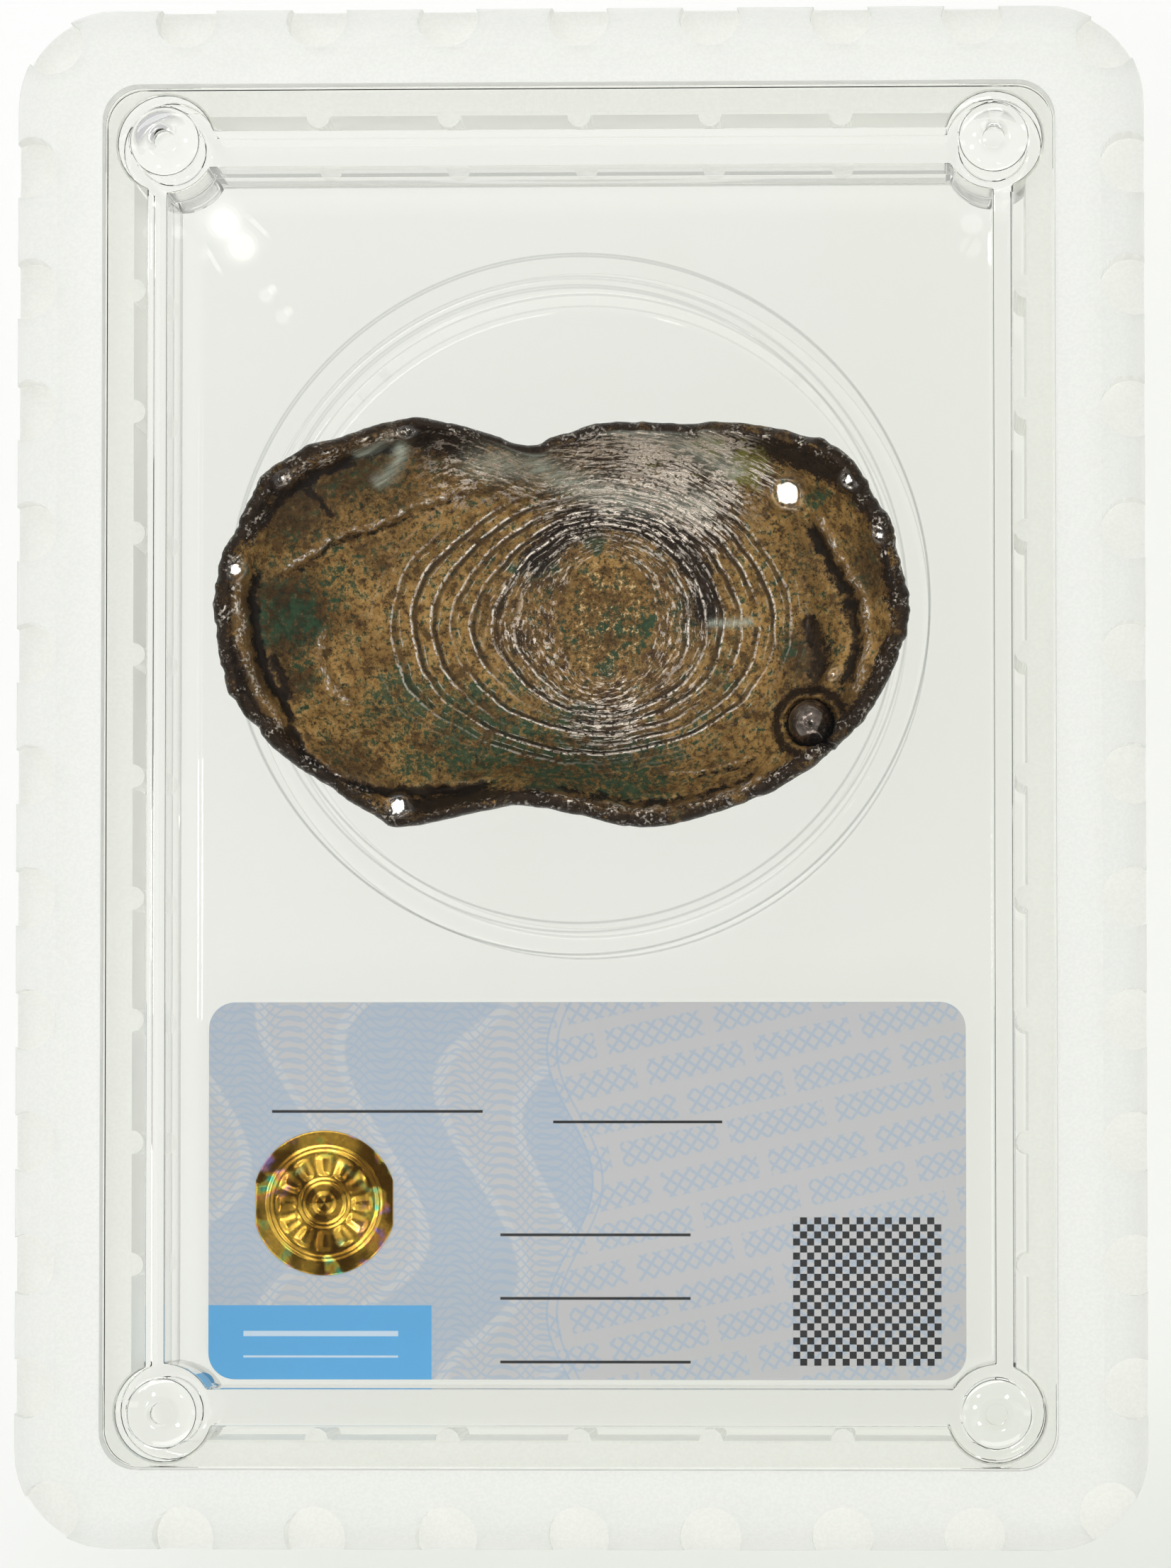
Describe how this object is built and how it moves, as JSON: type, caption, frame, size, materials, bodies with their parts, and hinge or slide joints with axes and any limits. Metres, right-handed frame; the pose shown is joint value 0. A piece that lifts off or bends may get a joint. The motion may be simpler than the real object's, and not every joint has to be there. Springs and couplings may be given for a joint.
{
  "type": "silver sycee ingot in a display holder",
  "caption": "Boat-shaped cast silver ingot with rippled pool and frozen bead, lying in a clear two-part holder with a frosted grip frame, corner pins, seat ring and label card.",
  "frame": {"origin": "middle of the back rim, which is the lowest face when the holder lies on its back", "axes": "+Z out of the front, +Y up the holder towards the ingot's end, +X to the viewer's right"},
  "size_m": [0.063, 0.086, 0.0153],
  "materials": {
    "toned_silver": "satin",
    "bright_silver": "gloss",
    "clear_plastic": "polished",
    "frosted_plastic": "matte",
    "printed_card": "satin",
    "gold_foil": "gloss"
  },
  "bodies": {
    "holder": {"back_cover": "clear_plastic", "edge_frame": "frosted_plastic", "label_card": "printed_card", "seal_disc": "gold_foil"},
    "cover": {"front_cover": "clear_plastic", "corner_pins": "clear_plastic"},
    "ingot": {"sycee_ingot": "toned_silver", "silver_bead": "bright_silver"}
  },
  "joints": [
    {"name": "cover_lift", "type": "slide", "parent": "holder", "child": "cover", "axis": [0, 0, 1], "range_m": [0, 0.025]},
    {"name": "ingot_play", "type": "slide", "parent": "holder", "child": "ingot", "axis": [0, 0, 1], "range_m": [0, 0.0004]}
  ]
}
